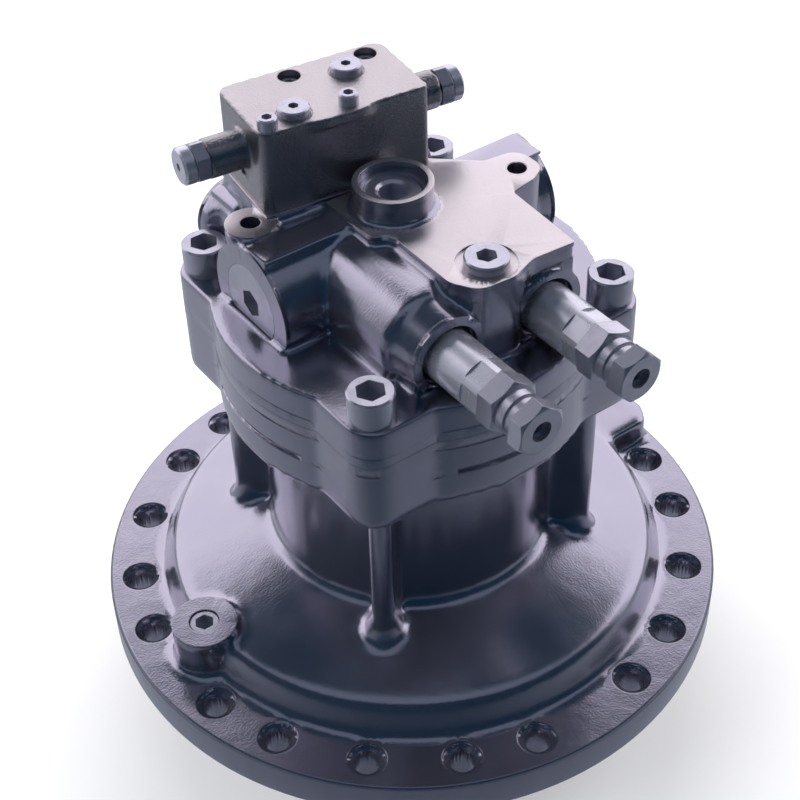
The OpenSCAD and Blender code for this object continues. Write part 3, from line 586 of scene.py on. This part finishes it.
@dataclass
class Finishes:
    """The built materials."""

    made: dict[Finish, bpy.types.Material] = field(default_factory=dict)

    def build(self) -> None:
        """Builds every finish."""
        for finish, recipe in RECIPES.items():
            self.made[finish] = recipe.build(finish.value)

    def dress(self, piece: bpy.types.Object, finish: Finish) -> None:
        """Gives a piece one finish.

        Args:
            piece: The object.
            finish: The finish.
        """
        piece.data.materials.clear()
        piece.data.materials.append(self.made[finish])
        LOG.info("%s: %d faces, %s", piece.name, len(piece.data.polygons), finish.value)


class MeshWork:
    """The steps of mesh work that castings and springs share."""

    @staticmethod
    def only(piece: bpy.types.Object) -> None:
        """Selects one piece and makes it active."""
        bpy.ops.object.select_all(action="DESELECT")
        piece.select_set(True)
        bpy.context.view_layer.objects.active = piece

    @classmethod
    def apply(cls, piece: bpy.types.Object, kind: str, **settings: Any) -> None:
        """Adds a modifier and applies it at once.

        Args:
            piece: The object.
            kind: The modifier's type.
            **settings: Its settings.
        """
        cls.only(piece)
        added = piece.modifiers.new(kind.lower(), kind)
        for key, value in settings.items():
            setattr(added, key, value)
        bpy.ops.object.modifier_apply(modifier=added.name)

    @classmethod
    def join(cls, piece: bpy.types.Object, other: bpy.types.Object) -> None:
        """Puts another piece's faces into this one's mesh."""
        cls.only(piece)
        other.select_set(True)
        bpy.ops.object.join()

    @classmethod
    def cut(cls, piece: bpy.types.Object, tool: bpy.types.Object, how: str) -> None:
        """Adds, cuts away or keeps what the tool covers, and removes the tool.

        Args:
            piece: The object that is changed.
            tool: The object that changes it.
            how: The boolean operation.
        """
        cls.apply(piece, "BOOLEAN", operation=how, solver="MANIFOLD", object=tool)
        bpy.data.objects.remove(tool)

    @classmethod
    def smooth(cls, piece: bpy.types.Object) -> None:
        """Shades a piece smooth between its sharp edges."""
        cls.only(piece)
        bpy.ops.object.shade_smooth_by_angle(angle=SHARP)


@dataclass(frozen=True)
class Rod:
    """A straight round opening: its axis from one end to the other, and its radius, in mm.

    A plugged one is filled while the skin of the casting is softened, and opened again after.
    """

    start: Point
    end: Point
    radius: float
    plugged: bool = True

    def build(self, short: float = 0.0) -> bpy.types.Object:
        """Makes a solid rod.

        Args:
            short: How much each end is drawn back.

        Returns:
            The rod, with its place in its mesh.
        """
        low, high = Vector(self.start) * MM, Vector(self.end) * MM
        way = (high - low).normalized()
        low += way * short * MM
        high -= way * short * MM
        bpy.ops.mesh.primitive_cylinder_add(
            vertices=96, radius=self.radius * MM, depth=(high - low).length, end_fill_type="TRIFAN"
        )
        rod = bpy.context.object
        rod.data.transform(
            Matrix.Translation((low + high) / 2) @ way.to_track_quat("Z", "Y").to_matrix().to_4x4()
        )
        return rod


@dataclass(frozen=True)
class Span:
    """A box, in mm, inside which a casting keeps its machined faces and edges."""

    low: Point
    high: Point

    def build(self, less: float = 0.0) -> bpy.types.Object:
        """Makes the box.

        Args:
            less: How much every side is drawn in.

        Returns:
            The box, with its place in its mesh.
        """
        bpy.ops.mesh.primitive_cube_add(size=1.0)
        box = bpy.context.object
        low = Vector(self.low) * MM + Vector((less, less, less)) * MM
        high = Vector(self.high) * MM - Vector((less, less, less)) * MM
        box.data.transform(Matrix.Translation((low + high) / 2) @ Matrix.Diagonal((*(high - low), 1.0)))
        return box


def upright(
    places: Iterable[Spot], low: float, high: float, radius: float, plugged: bool = True
) -> tuple[Rod, ...]:
    """Upright openings at several places.

    Args:
        places: Their centres.
        low: Their lower end.
        high: Their upper end.
        radius: Their radius.
        plugged: Whether they are filled while the skin is softened.

    Returns:
        The openings.
    """
    return tuple(Rod((x, y, low), (x, y, high), radius, plugged) for x, y in places)


@dataclass(frozen=True)
class BlockSeat:
    """Where the valve block stands on the plate: turned a little about the upright axis."""

    turn_deg: float = 7.2
    centre: Spot = (-11.6, 68.1)
    screws_low: tuple[Spot, ...] = ((-50.7, -26), (5.3, -26))
    screws_sunk: tuple[Spot, ...] = ((-12.2, 22.5), (42.8, 22.5))
    ports: tuple[Spot, ...] = ((-29, -3.5), (29, -3.5))
    plugs: tuple[Spot, ...] = ((-29.3, -19), (22.3, 10))

    def point(self, x: float, y: float, z: float) -> Point:
        """A point of the block's own frame, in the motor's frame, in mm.

        Args:
            x: Along the spool.
            y: Across the block, away from the relief valves.
            z: Height over the mounting face.

        Returns:
            The point.
        """
        turn = math.radians(self.turn_deg)
        along, across = math.cos(turn), math.sin(turn)
        return (self.centre[0] + along * x + across * y, self.centre[1] - across * x + along * y, z)

    def upright(self, places: Iterable[Spot], low: float, high: float, radius: float) -> tuple[Rod, ...]:
        """Upright openings placed in the block's own frame."""
        return upright((self.point(x, y, 0.0)[:2] for x, y in places), low, high, radius)


BLOCK_SEAT = BlockSeat()
SHAFT = ((0.0, 0.0),)
CORNERS = tuple((x * 94.2, y * 94.2) for x in (-1, 1) for y in (-1, 1))
CROSS_Y, CROSS_Z = 25.0, 287.0
RELIEF_X, RELIEF_Z = 38.0, 292.0


@dataclass(frozen=True)
class Casting:
    """A sand casting: soft edges and fillets all over, and crisp faces where it was machined."""

    node: str
    finish: Finish
    grain_mm: float
    soften: int
    soften_share: float = 0.5
    shrink_mm: float = 0.03
    plug_back_mm: float = 1.8
    face_back_mm: float = 0.1
    seam_mm: float = 0.001
    sliver_mm: float = 0.002
    normal_weight: int = 90

    def openings(self) -> tuple[Rod, ...]:
        """The round openings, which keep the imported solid's own faces."""
        return ()

    def machined(self) -> tuple[Span | Rod, ...]:
        """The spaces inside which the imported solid's own faces are kept."""
        return ()

    def build(self) -> bpy.types.Object:
        """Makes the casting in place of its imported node.

        Returns:
            The casting.
        """
        skin = self._skin()
        MeshWork.cut(skin, self._hollow(), "DIFFERENCE")
        for space in self.machined():
            MeshWork.cut(skin, space.build(self.face_back_mm), "DIFFERENCE")
        for space in self.machined():
            face = space.build()
            MeshWork.cut(face, self._twin("face"), "INTERSECT")
            MeshWork.cut(skin, face, "UNION")
        MeshWork.apply(skin, "WELD", merge_threshold=self.sliver_mm * MM)
        MeshWork.smooth(skin)
        MeshWork.apply(skin, "WEIGHTED_NORMAL", keep_sharp=True, weight=self.normal_weight)
        skin.name = f"{self.node}_cast"
        skin.data.name = skin.name
        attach(skin, "housing")
        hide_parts(self.node)
        return skin

    def _twin(self, name: str) -> bpy.types.Object:
        """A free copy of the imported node, with its seams closed."""
        twin = bpy.data.objects.new(f"{self.node}_{name}", frame["nodes"][self.node].data.copy())
        bpy.context.scene.collection.objects.link(twin)
        MeshWork.apply(twin, "WELD", merge_threshold=self.seam_mm * MM)
        return twin

    def _skin(self) -> bpy.types.Object:
        """The softened outside, with its openings still plugged.

        Returns:
            The skin.
        """
        skin = self._twin("skin")
        for rod in self.openings():
            if rod.plugged:
                MeshWork.join(skin, rod.build(self.plug_back_mm))
        MeshWork.apply(skin, "REMESH", mode="VOXEL", voxel_size=self.grain_mm * MM)
        MeshWork.apply(skin, "SMOOTH", factor=self.soften_share, iterations=self.soften)
        MeshWork.apply(skin, "DISPLACE", strength=-self.shrink_mm * MM, mid_level=0.0)
        return skin

    def _hollow(self) -> bpy.types.Object:
        """What is empty inside the openings.

        Returns:
            The empty space as a solid.
        """
        first, *others = self.openings()
        hollow = first.build()
        for rod in others:
            MeshWork.cut(hollow, rod.build(), "UNION")
        MeshWork.cut(hollow, self._twin("inside"), "DIFFERENCE")
        return hollow


@dataclass(frozen=True)
class Casing(Casting):
    """The housing's lower casting: flange, bell, neck, ribs and the pad under the joint.

    Each bore is its low end, its high end and its radius.
    """

    node: str = "casing"
    finish: Finish = Finish.CASING
    grain_mm: float = 3.0
    soften: int = 7
    bolt_circle: float = 202.5
    bolt_angles: tuple[int, ...] = (12, 27, 45, 63, 78)
    filler: tuple[Spot, ...] = ((-178, 0),)
    brake_room: Bore = (55, 247, 99.5)
    bearing_bore: Bore = (-10, 56, 78.0)
    filler_bore: Bore = (39, 62, 11.5)
    joint_groove: Bore = (214.9, 218.1, 140.0)
    corner_holes: Bore = (203, 247, 11.0)
    spot_faces: Bore = (20, 37, 13.6)
    filler_face: Bore = (58.8, 61, 22.9)
    flange: Span = Span((-226, -226, -9), (226, 226, 28))
    joint_face: Span = Span((-135, -135, 238), (135, 135, 246))

    def flange_bolts(self) -> tuple[Spot, ...]:
        """The centres of the flange's holes, alike in each quarter."""
        spots = []
        for quarter in (0, 90, 180, 270):
            for angle in self.bolt_angles:
                turn = math.radians(quarter + angle)
                spots.append((self.bolt_circle * math.cos(turn), self.bolt_circle * math.sin(turn)))
        return tuple(spots)

    def openings(self) -> tuple[Rod, ...]:
        """The rooms, bores and holes, and the groove round the joint."""
        return (
            *upright(SHAFT, *self.brake_room),
            *upright(SHAFT, *self.bearing_bore),
            *upright(self.filler, *self.filler_bore),
            *upright(SHAFT, *self.joint_groove, plugged=False),
            *upright(CORNERS, *self.corner_holes),
            *upright(self.flange_bolts(), *self.spot_faces, plugged=False),
        )

    def machined(self) -> tuple[Span | Rod, ...]:
        """The flange with its spigot, the joint's face and the filler boss's face."""
        return (self.flange, self.joint_face, *upright(self.filler, *self.filler_face))


@dataclass(frozen=True)
class ValveCasing(Casting):
    """The upper casting: base, relief and cross bosses, port bosses and the machined plate."""

    node: str = "valve_casing"
    finish: Finish = Finish.VALVE_CASING
    grain_mm: float = 2.0
    soften: int = 7
    centre: tuple[Spot, ...] = ((-4, 4.5),)
    top_plug: tuple[Spot, ...] = ((4.5, -79),)
    gauge: tuple[Spot, ...] = ((83, -12),)
    drain: tuple[Spot, ...] = ((-85, 46),)
    dowels: tuple[Spot, ...] = ((-118, 0), (118, 0))
    port_x: float = 56.0
    port_z: float = 287.5
    rotor_room: Bore = (243, 270, 60.0)
    bearing_bore: Bore = (268, 290, 30.0)
    centre_bore: Bore = (320, 352, 22.5)
    top_plug_hole: Bore = (304, 334, 10.5)
    gauge_port: Bore = (312, 334, 7.5)
    drain_port: Bore = (309, 332, 7.5)
    cross_bores: tuple[Bore, ...] = ((-104, -32, 27.7), (32, 117, 27.7))
    relief_bore: Bore = (-100, -30, 22.0)
    main_port: Bore = (70, 120, 16.3)
    corner_holes: Bore = (243, 274, 11.5)
    corner_seats: Bore = (270, 362, 16.9)
    dowel_holes: Bore = (243, 256, 5.0)
    block_holes: Bore = (308, 334, 5.0)
    joint_face: Span = Span((-135, -135, 244), (135, 135, 252))
    plate: Span = Span((-135, -135, 329.3), (135, 135, 332.06))
    centre_rim: Span = Span((-31, -23, 347), (23, 32, 351))
    cross_end_left: Span = Span((-103, -18, 274), (-99.5, 68, 329))
    cross_end_right: Span = Span((112.5, -18, 274), (116, 68, 329))
    relief_ends: Span = Span((-68, -99, 273), (68, -95, 321))
    port_ends: Span = Span((-88, 115, 273), (88, 119, 319))

    def side_bores(self) -> tuple[Rod, ...]:
        """The cross bores, the relief valves' bores and the main ports, which lie level."""
        bores = [
            Rod((low, CROSS_Y, CROSS_Z), (high, CROSS_Y, CROSS_Z), radius)
            for low, high, radius in self.cross_bores
        ]
        low, high, radius = self.relief_bore
        bores += [Rod((x, low, RELIEF_Z), (x, high, RELIEF_Z), radius) for x in (-RELIEF_X, RELIEF_X)]
        low, high, radius = self.main_port
        for x in (-self.port_x, self.port_x):
            bores.append(Rod((x, low, self.port_z), (x, high, self.port_z), radius))
        return tuple(bores)

    def openings(self) -> tuple[Rod, ...]:
        """Every bore and hole, from the rotor's room up to the block's screw holes."""
        block_spots = BLOCK_SEAT.screws_low + BLOCK_SEAT.screws_sunk + BLOCK_SEAT.ports
        return (
            *upright(SHAFT, *self.rotor_room),
            *upright(SHAFT, *self.bearing_bore),
            *upright(self.centre, *self.centre_bore),
            *upright(self.top_plug, *self.top_plug_hole),
            *upright(self.gauge, *self.gauge_port),
            *upright(self.drain, *self.drain_port),
            *self.side_bores(),
            *upright(CORNERS, *self.corner_holes),
            *upright(CORNERS, *self.corner_seats, plugged=False),
            *upright(self.dowels, *self.dowel_holes),
            *BLOCK_SEAT.upright(block_spots, *self.block_holes),
        )

    def machined(self) -> tuple[Span | Rod, ...]:
        """The joint's face, the plate, the centre boss's rim and the ends of the side bosses."""
        return (
            self.joint_face,
            self.plate,
            self.centre_rim,
            self.cross_end_left,
            self.cross_end_right,
            self.relief_ends,
            self.port_ends,
        )


@dataclass(frozen=True)
class ValveBlock(Casting):
    """The anti-reaction valve block, which keeps its machined seat."""

    node: str = "block_body"
    finish: Finish = Finish.BLOCK
    grain_mm: float = 1.3
    soften: int = 5
    spool_y: float = -3.5
    spool_z: float = 366.5
    side_y: float = -2.5
    side_z: float = 348.5
    spool_bore: Bore = (-87.4, 80.8, 10.0)
    side_hole: Bore = (-62, -52, 3.4)
    screw_holes: Bore = (330, 392, 5.0)
    screw_pockets: Bore = (330, 392, 8.0)
    plug_holes: Bore = (374, 392, 12.0)
    port_holes: Bore = (330, 368, 9.0)
    seat: Span = Span((-100, 0, 331), (80, 140, 335))

    def along_spool(self, bore: Bore, y: float, z: float) -> Rod:
        """A level opening that runs along the spool."""
        low, high, radius = bore
        return Rod(BLOCK_SEAT.point(low, y, z), BLOCK_SEAT.point(high, y, z), radius)

    def openings(self) -> tuple[Rod, ...]:
        """Spool bore, side hole, screw holes, sunk pockets, plug holes and ports."""
        return (
            self.along_spool(self.spool_bore, self.spool_y, self.spool_z),
            self.along_spool(self.side_hole, self.side_y, self.side_z),
            *BLOCK_SEAT.upright(BLOCK_SEAT.screws_low, *self.screw_holes),
            *BLOCK_SEAT.upright(BLOCK_SEAT.screws_sunk, *self.screw_pockets),
            *BLOCK_SEAT.upright(BLOCK_SEAT.plugs, *self.plug_holes),
            *BLOCK_SEAT.upright(BLOCK_SEAT.ports, *self.port_holes),
        )

    def machined(self) -> tuple[Span | Rod, ...]:
        """The seat."""
        return (self.seat,)


@dataclass(frozen=True)
class Coil:
    """A wound spring in place of a packed sleeve, in mm.

    Several like ones may stand in a ring about the shaft, each turned by one of the angles.
    """

    node: str
    joint: str
    fixed: Point
    free: Point
    radius: float
    wire: float
    turns: int
    travel: float
    angles: tuple[float, ...] = (0.0,)
    sides: int = 12
    steps: int = 24
    finish: Finish = Finish.MACHINED

    def build(self) -> bpy.types.Object:
        """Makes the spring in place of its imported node.

        Returns:
            The spring.
        """
        foot, head = Vector(self.fixed) * MM, Vector(self.free) * MM
        way, length = (head - foot).normalized(), (head - foot).length
        wound = self._wind(length)
        turn = way.to_track_quat("Z", "Y").to_matrix().to_4x4()
        wound.data.transform(Matrix.Translation(foot) @ turn)
        one = wound.data.copy()
        wound.data.transform(Matrix.Rotation(math.radians(self.angles[0]), 4, "Z"))
        for angle in self.angles[1:]:
            other = bpy.data.objects.new("turn", one.copy())
            other.data.transform(Matrix.Rotation(math.radians(angle), 4, "Z"))
            bpy.context.scene.collection.objects.link(other)
            MeshWork.join(wound, other)
        wound.name = f"{self.node}_coil"
        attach(wound, "housing")
        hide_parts(self.node)
        1.0 - self.travel * MM / length
        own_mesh(wound)
        return wound

    def _wind(self, length: float) -> bpy.types.Object:
        """Winds the wire's round section up the Z axis.

        Args:
            length: The spring's length, in metres.

        Returns:
            The wound wire, standing on the origin.
        """
        bpy.ops.mesh.primitive_circle_add(vertices=self.sides, radius=self.wire / 2 * MM)
        wound = bpy.context.object
        offset = Vector((self.radius - self.wire / 2, 0.0, self.wire / 2)) * MM
        wound.data.transform(Matrix.Translation(offset) @ Matrix.Rotation(math.radians(90.0), 4, "X"))
        MeshWork.apply(
            wound,
            "SCREW",
            screw_offset=(length - self.wire * MM) / self.turns,
            iterations=self.turns,
            steps=self.steps,
            use_smooth_shade=True,
        )
        return wound


def makeup_spring(side: str, outer_x: float, inner_x: float, turns: int) -> Coil:
    """The spring behind one make-up plunger.

    Args:
        side: Left or right.
        outer_x: Where it rests on the cross plug.
        inner_x: Where it meets the plunger.
        turns: Its turns.

    Returns:
        The spring.
    """
    ends = (outer_x, CROSS_Y, CROSS_Z), (inner_x, CROSS_Y, CROSS_Z)
    return Coil(f"makeup_spring_{side}", f"makeup_{side}_slide", *ends, 12.5, 2.5, turns, 5.0)


def relief_spring(side: str, x: float) -> Coil:
    """The spring behind one relief poppet."""
    ends = (x, -111.9, RELIEF_Z), (x, -84.1, RELIEF_Z)
    return Coil(f"relief_spring_{side}", f"relief_{side}_slide", *ends, 8.0, 3.0, 5, 3.0)


BRAKE_SPRINGS = Coil(
    "brake_springs",
    "brake_slide",
    (87.0, 0.0, 244.95),
    (87.0, 0.0, 218.05),
    radius=5.5,
    wire=2.0,
    turns=7,
    travel=1.5,
    angles=tuple((step + 0.5) * 22.5 for step in range(16)),
)
CASTINGS = (Casing(), ValveCasing(), ValveBlock())
COILS = (
    BRAKE_SPRINGS,
    makeup_spring("left", -82.8, -55.2, 6),
    makeup_spring("right", 95.8, 55.2, 8),
    relief_spring("left", -RELIEF_X),
    relief_spring("right", RELIEF_X),
)


def dress_nodes(finishes: Finishes) -> None:
    """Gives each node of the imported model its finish.

    Args:
        finishes: The built finishes.
    """
    slots = {part["node"]: part["material_slot"] for part in frame["record"]["subparts"]}
    cast = {casting.node: casting.finish for casting in CASTINGS}
    for name, node in frame["nodes"].items():
        finishes.dress(node, cast.get(name, SLOT_FINISH[slots[name]]))
        MeshWork.smooth(node)


def main() -> None:
    """Builds the scene in order."""
    logging.basicConfig(level=logging.INFO, format="%(message)s")
    bpy.ops.object.select_all(action="DESELECT")
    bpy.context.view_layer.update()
    Studio().build()
    finishes = Finishes()
    finishes.build()
    dress_nodes(finishes)
    for maker in (*CASTINGS, *COILS):
        finishes.dress(maker.build(), maker.finish)


if __name__ == "__main__":
    main()
